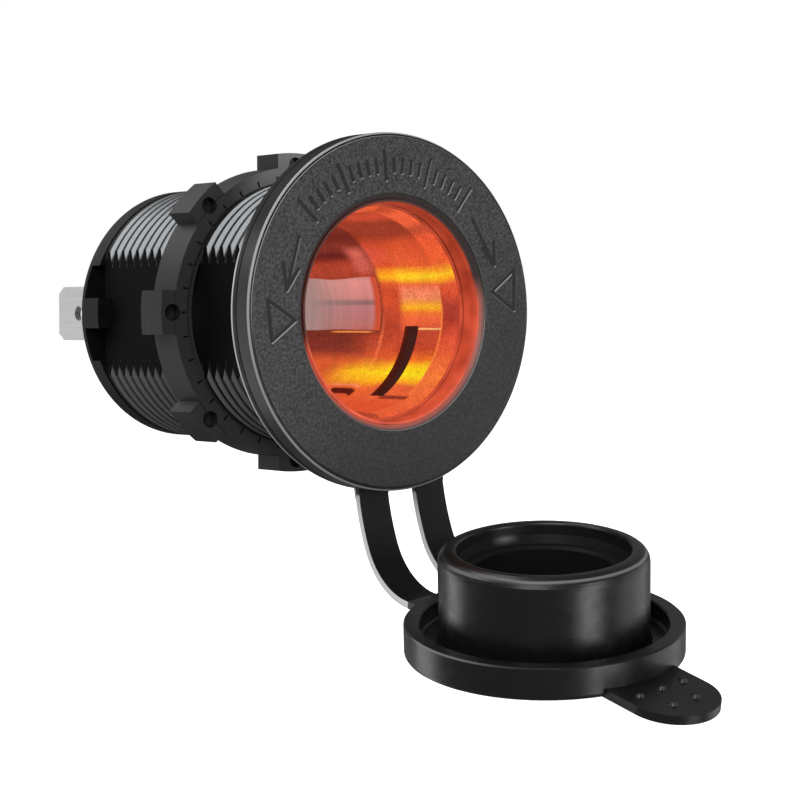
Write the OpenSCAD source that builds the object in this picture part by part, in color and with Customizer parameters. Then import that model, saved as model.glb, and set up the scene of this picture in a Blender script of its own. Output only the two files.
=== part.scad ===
// Panel-mount 12 V socket with a lit mouth, a ring nut and a rubber dust cap on two straps.
// The panel's outer surface is the plane y = 0, the socket's axis is Y and its mouth points to -Y.
// +Z is up, and the dust cap hangs open below the flange.

/* [Flange] */
// How far the round flange reaches beyond the thread
flange_lap = 4.35; // [3:0.05:6]
// Thickness of the flange
flange_t = 2; // [1.6:0.1:3]
// Radius of the flange's front edge
flange_edge = 0.35; // [0.2:0.05:0.6]
// Chamfer round the mouth in the flange's face
mouth_chamfer = 0.5; // [0.1:0.05:0.6]

/* [Socket bore] */
// Inside diameter of the metal barrel
bore_d = 21.2; // [20.9:0.1:22]
// Wall of the metal barrel
barrel_t = 0.5; // [0.4:0.05:0.8]
// Wall of the light sleeve
sleeve_t = 0.55; // [0.4:0.05:0.8]
// Gap on each side of the light sleeve
sleeve_gap = 0.05; // [0.03:0.01:0.1]
// Depth from the flange's face to the barrel's front edge
barrel_set = 2.75; // [2.2:0.05:4]
// Depth from the flange's face to the barrel's floor
socket_depth = 33.5; // [32:0.5:40]
// Radius of the barrel's flared front edge
flare = 1.2; // [0.8:0.1:1.5]
// Depth from the flange's face to the step where the bore narrows
step_depth = 15; // [14:0.2:17]
// How much the bore's radius narrows at the step
bore_step = 0.25; // [0.15:0.05:0.4]

/* [Locking slots] */
// Depth from the flange's face to the middle of the locking slots
slot_depth = 10.2; // [9:0.2:12]
// Width of a locking slot along the barrel
slot_w = 2.4; // [1.2:0.1:2.6]
// Angle below the horizontal at which a locking slot begins
slot_from = 8; // [5:1:20]
// Angle that a locking slot spans
slot_span = 51; // [30:1:60]
// Clearance of the light sleeve's cut-out round a locking slot
slot_clear = 1.2; // [0.4:0.1:1.4]

/* [Side springs] */
// Gap between the bore's step and a side spring's front foot
spring_gap = 0.25; // [0.1:0.05:1]
// Gap between a side spring's rear foot and the barrel's floor
spring_back = 4; // [3.4:0.1:6]
// Angle round the bore that a side spring covers
spring_span = 34; // [20:1:40]
// Turn of the side springs above the horizontal
spring_turn = 6; // [0:1:10]
// Thickness of a side spring
spring_t = 0.25; // [0.2:0.05:0.4]
// How far a side spring bows into the bore
spring_bow = 0.6; // [0.4:0.1:1]
// Length of the flat foot at each end of a side spring
spring_foot = 1.8; // [1:0.1:2.5]

/* [Threaded body] */
// Wall of the housing under the thread
body_wall = 1.75; // [1.3:0.05:3]
// Thread pitch
thread_pitch = 1.5; // [1.2:0.1:2]
// Thread depth
thread_depth = 0.8; // [0.5:0.05:0.9]
// Gap between the resistor and the rear cover
rear_room = 0.3; // [0.2:0.1:8]
// Plain shoulder between the flange and the thread
shoulder_l = 1.95; // [1.2:0.05:3]
// Plain collar behind the thread
collar_l = 1.6; // [1.4:0.1:3]
// Wall left between a side flat and the bore in the housing
flat_wall = 0.75; // [0.6:0.05:0.9]
// Width of the window at each side of the collar
window_w = 10.8; // [8:0.2:12]

/* [Rear cover] */
// Thickness of the rear cover
cover_t = 0.8; // [0.6:0.1:1.5]
// Width of a snap tab
snap_w = 3.4; // [2.6:0.1:5]
// Reach of a snap tab along the body
snap_l = 2.9; // [2.6:0.1:3.6]
// Wall of the locating skirt inside the body
skirt_t = 0.8; // [0.6:0.1:1.2]
// Height of the locating skirt
skirt_h = 1; // [0.6:0.1:1.4]

/* [Terminals] */
// Width of a blade terminal
blade_w = 6.3; // [4.8:0.1:6.5]
// Thickness of a blade terminal
blade_t = 0.8; // [0.5:0.1:1]
// How far the blades stand out behind the rear cover
blade_out = 11.6; // [9:0.2:15]
// Hole in a blade terminal
blade_hole_d = 1.7; // [1.2:0.1:2]
// Distance from a blade's tip to its hole
blade_hole_at = 4.5; // [3.5:0.1:5]
// Chamfer at a blade's corners
blade_chamfer = 0.8; // [0.4:0.1:1.2]
// Distance of the live blade's outer face from the axis
live_blade_x = 6.4; // [6:0.1:7]

/* [Centre contact] */
// Diameter of the centre contact's head
contact_d = 6.8; // [5:0.2:8]
// Height of the centre contact's head
contact_h = 1.4; // [1:0.1:2]
// Diameter of the centre contact's shank
shank_d = 3.2; // [2.6:0.1:3.6]
// Thickness of the insulator inside the barrel
insulator_t = 1.2; // [0.8:0.1:1.6]
// Distance from the barrel's wall to the edge of the insulator inside it
insulator_rim = 4.75; // [4.2:0.05:6]
// Thickness of the insulating washer behind the barrel
washer_t = 0.8; // [0.6:0.1:1]
// Distance from the barrel's wall to the edge of the insulating washer
washer_rim = 5.35; // [4.8:0.05:6.5]

/* [Ring nut] */
// Height of the ring nut
nut_h = 4.3; // [3:0.1:8]
// Wall of the ring nut outside the thread
nut_wall = 1.55; // [1.2:0.05:2.5]
// Distance from the panel's outer surface to the ring nut
nut_place = 14.4; // [6:0.1:18]
// Number of lugs
lug_count = 8; // [6:1:10]
// Width of a lug
lug_w = 4.7; // [3:0.1:6]
// Height of a lug above the ring
lug_h = 1.6; // [1:0.1:2.5]
// Step from the ring's faces back to a lug's faces
lug_step = 0.15; // [0.1:0.05:0.3]
// Diameter of the dimple in a lug's front face
dimple_d = 1.8; // [1.2:0.1:2]
// Depth of the dimple in a lug's front face
dimple_h = 1.2; // [0.6:0.1:2]
// Number of fine notches round the ring nut's front face
notch_count = 36; // [12:4:48]
// Width of a fine notch
notch_w = 0.22; // [0.15:0.01:0.4]
// Depth of a fine notch
notch_h = 0.3; // [0.2:0.05:0.5]

/* [Straps] */
// Thickness of the strap ring and the straps
strap_t = 0.8; // [0.6:0.1:1.2]
// Width of one strap
strap_w = 3.9; // [3:0.1:5]
// Gap between the two straps
strap_gap = 3.66; // [2:0.02:4]
// Turn of the strap ring round the body, from straight down
strap_turn = 8; // [0:1:30]
// Bend of a strap's gentle upper stretch, in degrees
strap_upper_bend = 14; // [10:1:20]

/* [Dust cap] */
// Width of the groove between the plug and the cap's rim
trough_w = 1.9; // [1.2:0.1:4]
// Height of the cap's rim
cap_h = 3.3; // [3:0.1:4]
// Width of the cap's raised rim
rim_w = 1.6; // [1.2:0.1:1.8]
// Thickness of the cap's floor
floor_t = 1.4; // [1.2:0.1:1.6]
// Length of the plug above the rim
plug_l = 7.5; // [6:0.1:8]
// Rounding of the plug's nose
plug_round = 1.3; // [0.8:0.1:1.5]
// Flat ring between the roundings of the plug's nose
plug_rim = 0.2; // [0.1:0.05:0.6]
// Wall of the plug at its hollow
plug_wall = 3.4; // [3.1:0.1:5]
// Depth of the ledge inside the plug
ledge_depth = 2.1; // [1.4:0.1:2.6]
// Width of the pull tab
tab_w = 9.4; // [8:0.2:12]
// Reach of the pull tab beyond the disc
tab_l = 8; // [6:0.2:10]
// Thickness of the pull tab
tab_t = 0.9; // [0.7:0.1:1.2]
// Droop of the pull tab, in degrees
tab_droop = 7; // [0:1:10]
// Diameter of a grip dot on the pull tab
dot_d = 0.95; // [0.6:0.05:1.2]
// How far below the flange's edge the straps fold
fold_drop = 1.15; // [1:0.05:3]
// Swing of the open cap from its closed direction
cap_open = 98; // [90:1:105]

/* [Clearances] */
// Running clearance of the ring nut on the thread, on the radius
nut_clear = 0.08; // [0.03:0.01:0.1]
// Clearance of the strap ring round the body, on the radius
ring_clear = 0.15; // [0.1:0.05:0.3]
// Gap between the flange and the strap ring
ring_gap = 0.15; // [0.1:0.05:0.3]
// Clearance of the cap's plug in the bore, on the radius
plug_clear = 0.1; // [0.05:0.01:0.2]
// Gap between the closed cap's rim and the flange
seat_gap = 0.15; // [0.1:0.05:0.3]
// Clearance of parts that are pressed together by hand, on each side
part_clear = 0.1; // [0.05:0.05:0.2]

/* [Hidden] */
round_fn = 96;
// a small overlap where a cutter leaves a face
over = 0.5;

// planes along the axis, measured from the panel's outer surface
flange_back = -(strap_t + ring_gap);
face_y = flange_back - flange_t;
thread_y = flange_back + shoulder_l;
barrel_y = face_y + barrel_set;
step_y = face_y + step_depth;
floor_y = face_y + socket_depth;
floor_back = floor_y + barrel_t;
washer_back = floor_back + washer_t;
live_back = washer_back + blade_t;
earth_back = floor_back + blade_t;

// the lamp board, which leans on the light sleeve's rear end, and what lies behind it
board_t = 1;
board_y = live_back + part_clear;
board_back = board_y + board_t;
resistor_r = 0.75;
resistor_lift = 0.1;
cover_y = board_back + resistor_lift + 2 * resistor_r + rear_room;
collar_y = cover_y - collar_l;
blade_tip = cover_y + cover_t + blade_out;

// radii from the bore outwards
bore_r = bore_d / 2;
rear_r = bore_r - bore_step;
barrel_r = bore_r + barrel_t;
sleeve_in = barrel_r + sleeve_gap;
sleeve_r = sleeve_in + sleeve_t;
housing_bore = sleeve_r + sleeve_gap;
flat_x = housing_bore + flat_wall;
root_r = housing_bore + body_wall;
crest_r = root_r + thread_depth;
flange_r = crest_r + flange_lap;
ridge_count = floor((collar_y - thread_y) / thread_pitch);
nut_bore = crest_r + nut_clear;
nut_r = nut_bore + nut_wall;
insulator_r = rear_r - insulator_rim;
washer_r = rear_r - washer_rim;

// places across the lamp board
board_gap = 1.45;
board_clear = 1.2;
board_z = blade_w / 2 + board_gap;
led_inset = 0.95;
led_r = barrel_r - led_inset;
led_angle = 62;
wire_r = 0.3;
wire_rise = 0.5;
rivet_x = (rear_r + insulator_r) / 2;

// the folding point of the straps and the cap's place, in the turned plane of the straps
strap_out = strap_gap / 2 + strap_w;
strap_mid_y = -strap_t / 2;
stub_out = 0.25;
strap_root = flange_r + stub_out;
fold_in = 0.25;
fold_y = face_y + fold_in;
fold_r = flange_r + fold_drop;
plug_r = bore_r - plug_clear;
cap_r = plug_r + trough_w + rim_w;
press_past = 0.5;
closed_y = face_y - seat_gap - plug_l - press_past;
cap_stub_out = 0.3;
strap_end = cap_r + cap_stub_out;
strap_end_z = -0.7;
cap_tilt = cap_open - 90;

// the point [y, z] turned by angle a
function spin(p, a) = [p.x * cos(a) - p.y * sin(a), p.x * sin(a) + p.y * cos(a)];

// where a point [y, z] of the open cap's own frame lies in the straps' plane
cap_middle = [fold_y, -fold_r] + spin([closed_y - fold_y, fold_r], cap_open);
function on_open_cap(p) = cap_middle + spin(p, cap_tilt);

// each strap is two arcs, a gentle one and a tight one, that meet with one tangent
strap_start = [strap_mid_y, -strap_root];
strap_finish = on_open_cap([strap_end, strap_end_z]);
run = strap_start - strap_finish;
bend_total = 90 - cap_tilt;
m11 = 1 - cos(strap_upper_bend);
m12 = cos(strap_upper_bend) - cos(bend_total);
m21 = sin(strap_upper_bend);
m22 = sin(bend_total) - sin(strap_upper_bend);
m_det = m11 * m22 - m12 * m21;
upper_bend_r = (run.x * m22 - run.y * m12) / m_det;
lower_bend_r = (m11 * run.y - m21 * run.x) / m_det;

// points of a quarter round in a profile [radius, y], from direction a to direction b
function arc(c, r, a, b, n = 6) = [
    for (i = [0 : n]) c + r * [cos(a + (b - a) * i / n), sin(a + (b - a) * i / n)]
];

// a solid turned round the socket's axis from a profile of [radius, y] points
module turned(profile) {
    rotate([-90, 0, 0]) rotate_extrude($fn = round_fn) polygon(profile);
}

// the same over the sector from angle a to angle b, counted from +X towards +Z
module turned_sector(profile, a, b) {
    rotate([-90, 0, 0]) rotate([0, 0, -b])
        rotate_extrude(angle = b - a, $fn = round_fn) polygon(profile);
}

// a round bar along Y
module bar(r, y0, y1) {
    translate([0, y0, 0]) rotate([-90, 0, 0]) cylinder(r = r, h = y1 - y0, $fn = round_fn);
}

// a box from its low corner to its high corner
module block(low, high) {
    translate(low) cube(high - low);
}

// puts what is drawn for the straps' own upright plane into its turned place
module strap_plane() {
    rotate([0, -strap_turn, 0]) children();
}

// puts the dust cap's own frame, with its plug along +Z, where the open cap hangs
module cap_place() {
    strap_plane() translate([0, cap_middle.x, cap_middle.y]) rotate([cap_tilt, 0, 0]) children();
}

// one ridge of the thread in the housing's outer profile
function ridge(i) = let (y = thread_y + i * thread_pitch) [
    [root_r, y + thread_pitch * 0.1],
    [crest_r, y + thread_pitch * 0.36],
    [crest_r, y + thread_pitch * 0.64],
    [root_r, y + thread_pitch * 0.9]
];

housing_profile = concat(
    [[housing_bore + mouth_chamfer, face_y]],
    arc([flange_r - flange_edge, face_y + flange_edge], flange_edge, -90, 0),
    [[flange_r, flange_back], [crest_r, flange_back], [crest_r, thread_y]],
    [for (i = [0 : ridge_count - 1]) each ridge(i)],
    [[root_r, collar_y - 0.05], [crest_r, collar_y], [crest_r, cover_y], [housing_bore, cover_y]],
    [[housing_bore, face_y + mouth_chamfer]]
);

// pocket in each flat that a snap hook of the rear cover drops into
hook_y = cover_y - snap_l;
hook_h = 0.35;
hook_l = 0.8;
hook_w = snap_w - 0.8;

// the black body: flange, threaded barrel with two flats, and the collar with its windows
module housing() {
    color("#2b2b2d") difference() {
        turned(housing_profile);
        for (side = [0, 1]) mirror([side, 0, 0]) {
            block([flat_x, thread_y, -flange_r], [flange_r, collar_y, flange_r]);
            block([housing_bore - over, collar_y, -window_w / 2],
                  [flange_r, cover_y + over, window_w / 2]);
            block([flat_x - hook_h - part_clear, hook_y - part_clear, -hook_w / 2 - part_clear],
                  [flange_r, hook_y + hook_l + part_clear, hook_w / 2 + part_clear]);
        }
    }
}

// the cutters of both locking slots, through the wall between two radii, wider all round by spread
module lock_slots(r_in, r_out, spread = 0) {
    y0 = face_y + slot_depth - slot_w / 2 - spread;
    y1 = face_y + slot_depth + slot_w / 2 + spread;
    turn = atan(spread / r_in);
    for (side = [0, 180]) rotate([0, side, 0])
        turned_sector([[r_in, y0], [r_out, y0], [r_out, y1], [r_in, y1]],
                      -slot_from - slot_span - turn, -slot_from + turn);
}

// the sleeve's front lip covers part of the barrel's edge
lip_in = (sleeve_in + sleeve_r) / 2 - 0.1;
lip_set = 0.25;
lip_bevel = 0.15;
lip_l = 0.35;

// the translucent sleeve that carries the lamps' light to the mouth
module light_sleeve() {
    color("#ff6a1c", 0.75) difference() {
        turned([
            [lip_in + lip_bevel, face_y + lip_set], [sleeve_r, face_y + lip_set], [sleeve_r, board_y],
            [sleeve_in, board_y], [sleeve_in, barrel_y - part_clear], [lip_in, barrel_y - part_clear],
            [lip_in, face_y + lip_set + lip_l]
        ]);
        lock_slots(sleeve_in - over, sleeve_r + over, slot_clear);
    }
}

barrel_corner = 0.8;
// flat left on the barrel's front edge outside the flare
flare_land = 0.15;
// how far behind the bore's step the same step lies on the barrel's outside
step_lag = barrel_t * tan(45 / 2);

// the drawn metal cup that takes the plug, with its flared edge, its step and two locking slots
module metal_barrel() {
    outer_r = rear_r + barrel_t;
    color("#c9c3bb") difference() {
        turned(concat(
            [[0, floor_y]],
            arc([rear_r - barrel_corner, floor_y - barrel_corner], barrel_corner, 90, 0),
            [[rear_r, step_y + bore_step], [bore_r, step_y], [bore_r, barrel_y + flare]],
            [[bore_r + (barrel_t - flare_land) * 0.35, barrel_y + flare * 0.4]],
            [[barrel_r - flare_land, barrel_y]],
            [[barrel_r, barrel_y], [barrel_r, step_y + step_lag]],
            [[outer_r, step_y + bore_step + step_lag]],
            arc([outer_r - barrel_corner - barrel_t, floor_back - barrel_corner - barrel_t],
                barrel_corner + barrel_t, 0, 90),
            [[0, floor_back]]
        ));
        bar(boss_r + part_clear, floor_y - over, floor_back + over);
        translate([-rivet_x, 0, 0]) bar(rivet_r, floor_y - over, floor_back + over);
        lock_slots(bore_r - over, barrel_r + over);
    }
}

// a side spring's radius at share t of its bowed length
function spring_in(t) = rear_r - spring_t - spring_bow * pow(sin(180 * t), 2);

// a leaf that bows into the bore and presses on the plug's side
module side_spring(side) {
    y0 = step_y + bore_step + spring_gap;
    y1 = floor_y - spring_back;
    bowed = y1 - y0 - 2 * spring_foot;
    steps = 12;
    inner = [for (i = [0 : steps]) [spring_in(i / steps), y0 + spring_foot + bowed * i / steps]];
    profile = concat(
        [[rear_r - spring_t, y0]], inner, [[rear_r - spring_t, y1]],
        [[rear_r, y1]],
        [for (i = [steps : -1 : 0]) inner[i] + [spring_t, 0]],
        [[rear_r, y0]]
    );
    color("#d8d4cf") rotate([0, side * 180, 0])
        turned_sector(profile, spring_turn - spring_span / 2, spring_turn + spring_span / 2);
}
module side_spring_right() { side_spring(0); }
module side_spring_left() { side_spring(1); }

boss_wall = 1.4;
boss_r = shank_d / 2 + boss_wall;
contact_y = floor_y - insulator_t;
shank_hole = shank_d / 2 + part_clear / 2;

// the insulator inside the barrel, with a boss through the floor
module base_insulator() {
    color("#3a2a1e") difference() {
        union() {
            bar(insulator_r, contact_y, floor_y);
            bar(boss_r, floor_y - part_clear, floor_back);
        }
        bar(shank_hole, contact_y - over, floor_back + over);
    }
}

// the insulating washer behind the barrel's floor
module rear_insulator() {
    color("#6b4a2b") difference() {
        bar(washer_r, floor_back, washer_back);
        bar(shank_hole, floor_back - over, washer_back + over);
    }
}

upset_h = 0.7;

// the domed centre contact, riveted through the insulators and the live blade
module centre_contact() {
    r = contact_d / 2;
    dome = 0.8;
    color("#c8a24a") turned([
        [0, contact_y - contact_h],
        [r * 0.5, contact_y - contact_h + dome * 0.12],
        [r * 0.8, contact_y - contact_h + dome * 0.45],
        [r, contact_y - contact_h + dome],
        [r, contact_y],
        [shank_d / 2, contact_y],
        [shank_d / 2, live_back],
        [shank_d / 2 + 0.9, live_back],
        [shank_d / 2 + 0.7, live_back + upset_h * 0.7],
        [shank_d / 2, live_back + upset_h],
        [0, live_back + upset_h]
    ]);
}

// the upright tongue of a blade terminal whose outer face is at x, with its holes and chamfers
module tongue(x, y0) {
    half = blade_w / 2;
    c = blade_chamfer;
    translate([x - blade_t, 0, 0]) rotate([90, 0, 90]) linear_extrude(blade_t) difference() {
        polygon([
            [y0, -half], [blade_tip - c * 1.4, -half], [blade_tip, -half + c],
            [blade_tip, half - c], [blade_tip - c * 1.4, half], [y0, half]
        ]);
        translate([blade_tip - blade_hole_at, 0]) circle(d = blade_hole_d, $fn = 48);
    }
}

// the live blade: a foot under the centre contact's rivet, bent up into its tongue
module live_blade() {
    color("#bfc0c2") difference() {
        union() {
            block([-shank_d, washer_back, -blade_w / 2], [live_blade_x, live_back, blade_w / 2]);
            tongue(live_blade_x, washer_back);
        }
        bar(shank_d / 2, washer_back - over, live_back + over);
    }
}

// half the blade's width fits inside the barrel's radius at this distance from the axis
earth_x = floor(10 * sqrt(pow(barrel_r - 0.1, 2) - pow(blade_w / 2, 2))) / 10 - 0.1;
foot_gap = 0.3;
rivet_r = 0.9;
rivet_head = 0.5;
rivet_head_r = 1.3;

// the earth blade: a foot on the barrel's floor, bent up into its tongue
module earth_blade() {
    color("#bfc0c2") difference() {
        union() {
            block([-earth_x, floor_back, -blade_w / 2],
                  [-washer_r - foot_gap, earth_back, blade_w / 2]);
            mirror([1, 0, 0]) tongue(earth_x, floor_back);
        }
        translate([-rivet_x, 0, 0]) bar(rivet_r, floor_back - over, earth_back + over);
    }
}

// the small rivet that joins the earth blade's foot to the barrel's floor
module earth_rivet() {
    color("#c9c3bb") translate([-rivet_x, 0, 0]) {
        bar(rivet_head_r, floor_y - rivet_head, floor_y);
        bar(rivet_r, floor_y - rivet_head / 2, earth_back + rivet_head / 2);
        bar(rivet_head_r, earth_back, earth_back + rivet_head);
    }
}

// the lamp board, a crescent above the blades
module led_board() {
    color("#1f6b3a") intersection() {
        difference() {
            bar(housing_bore - part_clear, board_y, board_back);
            bar(washer_r + board_clear, board_y - over, board_back + over);
        }
        block([-flange_r, board_y - over, board_z], [flange_r, board_back + over, flange_r]);
    }
}

led_h = 0.9;
led_size = [1.6, 2.2];
led_lens_r = 0.7;

// a surface-mounted lamp on the board's front face, close to the sleeve's end
module led(angle) {
    color("#ffd27a") rotate([0, -angle, 0]) translate([led_r, 0, 0]) {
        block([-led_size.x / 2, board_y - led_h * 0.6, -led_size.y / 2],
              [led_size.x / 2, board_y, led_size.y / 2]);
        bar(led_lens_r, board_y - led_h, board_y - led_h * 0.5);
    }
}
module led_right() { led(led_angle); }
module led_left() { led(180 - led_angle); }

resistor_l = 3.6;
resistor_z = (board_z + housing_bore) / 2;

// the series resistor on the back of the board, on its two bent legs
module resistor() {
    leg = 0.25;
    leg_out = 0.8;
    color("#c9a77a") translate([0, board_back + resistor_r + resistor_lift, resistor_z]) {
        rotate([0, 90, 0]) cylinder(r = resistor_r, h = resistor_l, center = true, $fn = 48);
        rotate([0, 90, 0]) cylinder(r = leg, h = resistor_l + 2 * leg_out, center = true, $fn = 24);
        for (side = [-1, 1]) translate([side * (resistor_l / 2 + leg_out - leg), 0, 0])
            rotate([90, 0, 0]) cylinder(r = leg, h = resistor_r + resistor_lift, $fn = 24);
    }
}

// a lead from the back of the board over to the upper edge of a blade
module lead(x, z) {
    y = board_back + wire_rise;
    translate([x, 0, z]) bar(wire_r, board_back, y);
    translate([x, y, z]) sphere(r = wire_r, $fn = 32);
    translate([x, y, blade_w / 2]) cylinder(r = wire_r, h = z - blade_w / 2, $fn = 32);
}
module lead_live() { color("#b3261e") lead(live_blade_x - blade_t / 2, board_z + 0.8); }
module lead_earth() { color("#222222") lead(-earth_x + blade_t / 2, board_z + 0.45); }

post_r = 0.8;
post_x = 5;

// the rear cover: a thin disc with a locating skirt, two snap tabs and slots for the blades
module rear_cover() {
    skirt_r = housing_bore - part_clear;
    back = cover_y + cover_t;
    color("#29292b") difference() {
        union() {
            turned([[0, cover_y], [crest_r, cover_y], [crest_r, back - 0.2],
                    [crest_r - 0.2, back], [0, back]]);
            difference() {
                bar(skirt_r, cover_y - skirt_h, cover_y + cover_t / 2);
                bar(skirt_r - skirt_t, cover_y - skirt_h - over, cover_y);
            }
            for (x = [-post_x, post_x]) translate([x, 0, resistor_z])
                bar(post_r, board_back, cover_y + cover_t / 2);
            intersection() {
                bar(crest_r, cover_y - snap_l - over, back);
                for (side = [0, 1]) mirror([side, 0, 0]) {
                    block([flat_x + part_clear / 2, hook_y, -snap_w / 2],
                          [crest_r, cover_y + cover_t / 2, snap_w / 2]);
                    block([flat_x - hook_h, hook_y, -hook_w / 2],
                          [crest_r, hook_y + hook_l, hook_w / 2]);
                }
            }
        }
        for (x = [live_blade_x - blade_t, -earth_x])
            block([x - part_clear, cover_y - skirt_h - over, -blade_w / 2 - part_clear],
                  [x + blade_t + part_clear, back + over, blade_w / 2 + part_clear]);
    }
}

// rim left outside the notches, so that none runs into a dimple
notch_end = 0.85;

// the ring nut with its lugs; its bore clears the thread's crests
module ring_nut() {
    y1 = nut_place + nut_h;
    lug_r = nut_r + lug_h;
    color("#39393b") difference() {
        union() {
            bar(nut_r, nut_place, y1);
            intersection() {
                bar(lug_r, nut_place + lug_step, y1 - lug_step);
                for (i = [0 : lug_count - 1]) rotate([0, i * 360 / lug_count, 0])
                    block([nut_bore, nut_place, -lug_w / 2], [lug_r + over, y1, lug_w / 2]);
            }
        }
        bar(nut_bore, nut_place - over, y1 + over);
        for (i = [0 : lug_count - 1]) rotate([0, i * 360 / lug_count, 0])
            translate([(nut_bore + lug_r) / 2 + 0.2, 0, 0])
                bar(dimple_d / 2, nut_place - over, nut_place + dimple_h);
        for (i = [0 : notch_count - 1]) rotate([0, i * 360 / notch_count, 0])
            block([nut_bore - over, nut_place - over, -notch_w / 2],
                  [nut_r - notch_end, nut_place + notch_h, notch_w / 2]);
    }
}

// the low edge of each strap across the strap plane: left one first
strap_lows = [-strap_out, strap_gap / 2];
stub_in = 1;

// the rubber ring behind the flange, with the two stubs that the straps leave from
module strap_ring() {
    color("#232324") difference() {
        union() {
            bar(flange_r, -strap_t, 0);
            strap_plane() for (x = strap_lows)
                block([x, -strap_t, -strap_root], [x + strap_w, 0, -crest_r - stub_in]);
        }
        bar(crest_r + ring_clear, -strap_t - over, over);
    }
}

// the bends' centres in the strap plane: both lie on the line through the point where they meet
upper_c = strap_start - [upper_bend_r, 0];
lower_c = upper_c + (upper_bend_r - lower_bend_r) * [cos(strap_upper_bend), -sin(strap_upper_bend)];
bend_step = 4;

// one edge of a strap's J, as far outside its centre line as out says
function strap_edge(out) = let (
    high = arc(upper_c, upper_bend_r + out, 0, -strap_upper_bend, ceil(strap_upper_bend / bend_step)),
    low = arc(lower_c, lower_bend_r + out, -strap_upper_bend, -bend_total, ceil(bend_total / bend_step))
) concat(high, [for (i = [1 : len(low) - 1]) low[i]]);

// one strap in its open J, from the ring's stub to the cap's edge
module strap(x) {
    outer = strap_edge(strap_t / 2);
    inner = strap_edge(-strap_t / 2);
    color("#232324") strap_plane() translate([x, 0, 0]) rotate([90, 0, 90]) linear_extrude(strap_w)
        polygon(concat(outer, [for (i = [len(inner) - 1 : -1 : 0]) inner[i]]));
}
module strap_left() { strap(strap_lows[0]); }
module strap_right() { strap(strap_lows[1]); }

trough_z = floor_t - cap_h;
lip_round = 0.35;
cap_edge = 0.45;
plug_mouth_r = plug_r - plug_round - plug_rim - lip_round;
plug_hollow_r = plug_r - plug_wall;

// the cap's section from its own axis outwards, as [radius, height above the rim]
cap_profile = concat(
    [[0, -cap_h]],
    arc([cap_r - cap_edge, -cap_h + cap_edge], cap_edge, -90, 0, 4),
    [[cap_r, -0.15], [cap_r - 0.15, 0], [cap_r - rim_w + 0.15, 0], [cap_r - rim_w, -0.15]],
    [[cap_r - rim_w, trough_z + 0.2], [cap_r - rim_w - 0.2, trough_z]],
    [[plug_r + 0.25, trough_z], [plug_r, trough_z + 0.4]],
    arc([plug_r - plug_round, plug_l - plug_round], plug_round, 0, 90),
    arc([plug_mouth_r + lip_round, plug_l - lip_round], lip_round, 90, 180, 4),
    [[plug_mouth_r - 0.1, plug_l - ledge_depth * 0.6], [plug_mouth_r - 0.5, plug_l - ledge_depth]],
    [[plug_hollow_r + 0.3, plug_l - ledge_depth], [plug_hollow_r, plug_l - ledge_depth - 0.3]],
    [[plug_hollow_r, trough_z + 0.4], [0, trough_z + 0.4]]
);

// grip dots on the tab, as [across, distance beyond the disc's edge]
tab_dots = [[-2.9, 2], [0, 2], [2.9, 2], [-1.5, 5], [1.5, 5]];

// the dust cap: disc with raised rim, hollow plug, pull tab and the stubs the straps end in
module dust_cap() {
    reach = cap_r + tab_l - tab_w / 2;
    tab_root = cap_r - 0.8;
    tab_lap = 1.5;
    color("#1e1e1f") cap_place() {
        rotate_extrude($fn = round_fn) polygon(cap_profile);
        for (x = strap_lows)
            block([x, sqrt(pow(cap_r - 0.15, 2) - pow(strap_out, 2)), strap_end_z - strap_t / 2],
                  [x + strap_w, strap_end, strap_end_z + strap_t / 2]);
        translate([0, -tab_root, -cap_h]) rotate([tab_droop, 0, 0]) translate([0, tab_root, 0]) {
            translate([0, -reach, 0]) cylinder(d = tab_w, h = tab_t, $fn = round_fn);
            block([-tab_w / 2, -reach, 0], [tab_w / 2, -cap_r + tab_lap, tab_t]);
            for (dot = tab_dots) translate([dot.x, -cap_r - dot.y, tab_t])
                cylinder(d1 = dot_d, d2 = dot_d * 0.6, h = 0.3, $fn = 24);
        }
    }
}

housing();
light_sleeve();
metal_barrel();
side_spring_right();
side_spring_left();
base_insulator();
rear_insulator();
centre_contact();
live_blade();
earth_blade();
earth_rivet();
led_board();
led_right();
led_left();
resistor();
lead_live();
lead_earth();
rear_cover();
ring_nut();
strap_ring();
strap_left();
strap_right();
dust_cap();
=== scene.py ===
"""Studio scene for a panel-mount 12 V socket with an amber-lit mouth, a ring nut and a rubber dust cap on two straps.
The light in the mouth is painted on its surfaces as emission.

Sizes in the code are millimetres in the row frame: y = 0 is the panel's outer surface, the socket's axis is Y and its
mouth points to -Y. They are turned to metres where a mesh, a light or a mask is made.
"""
import math

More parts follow.
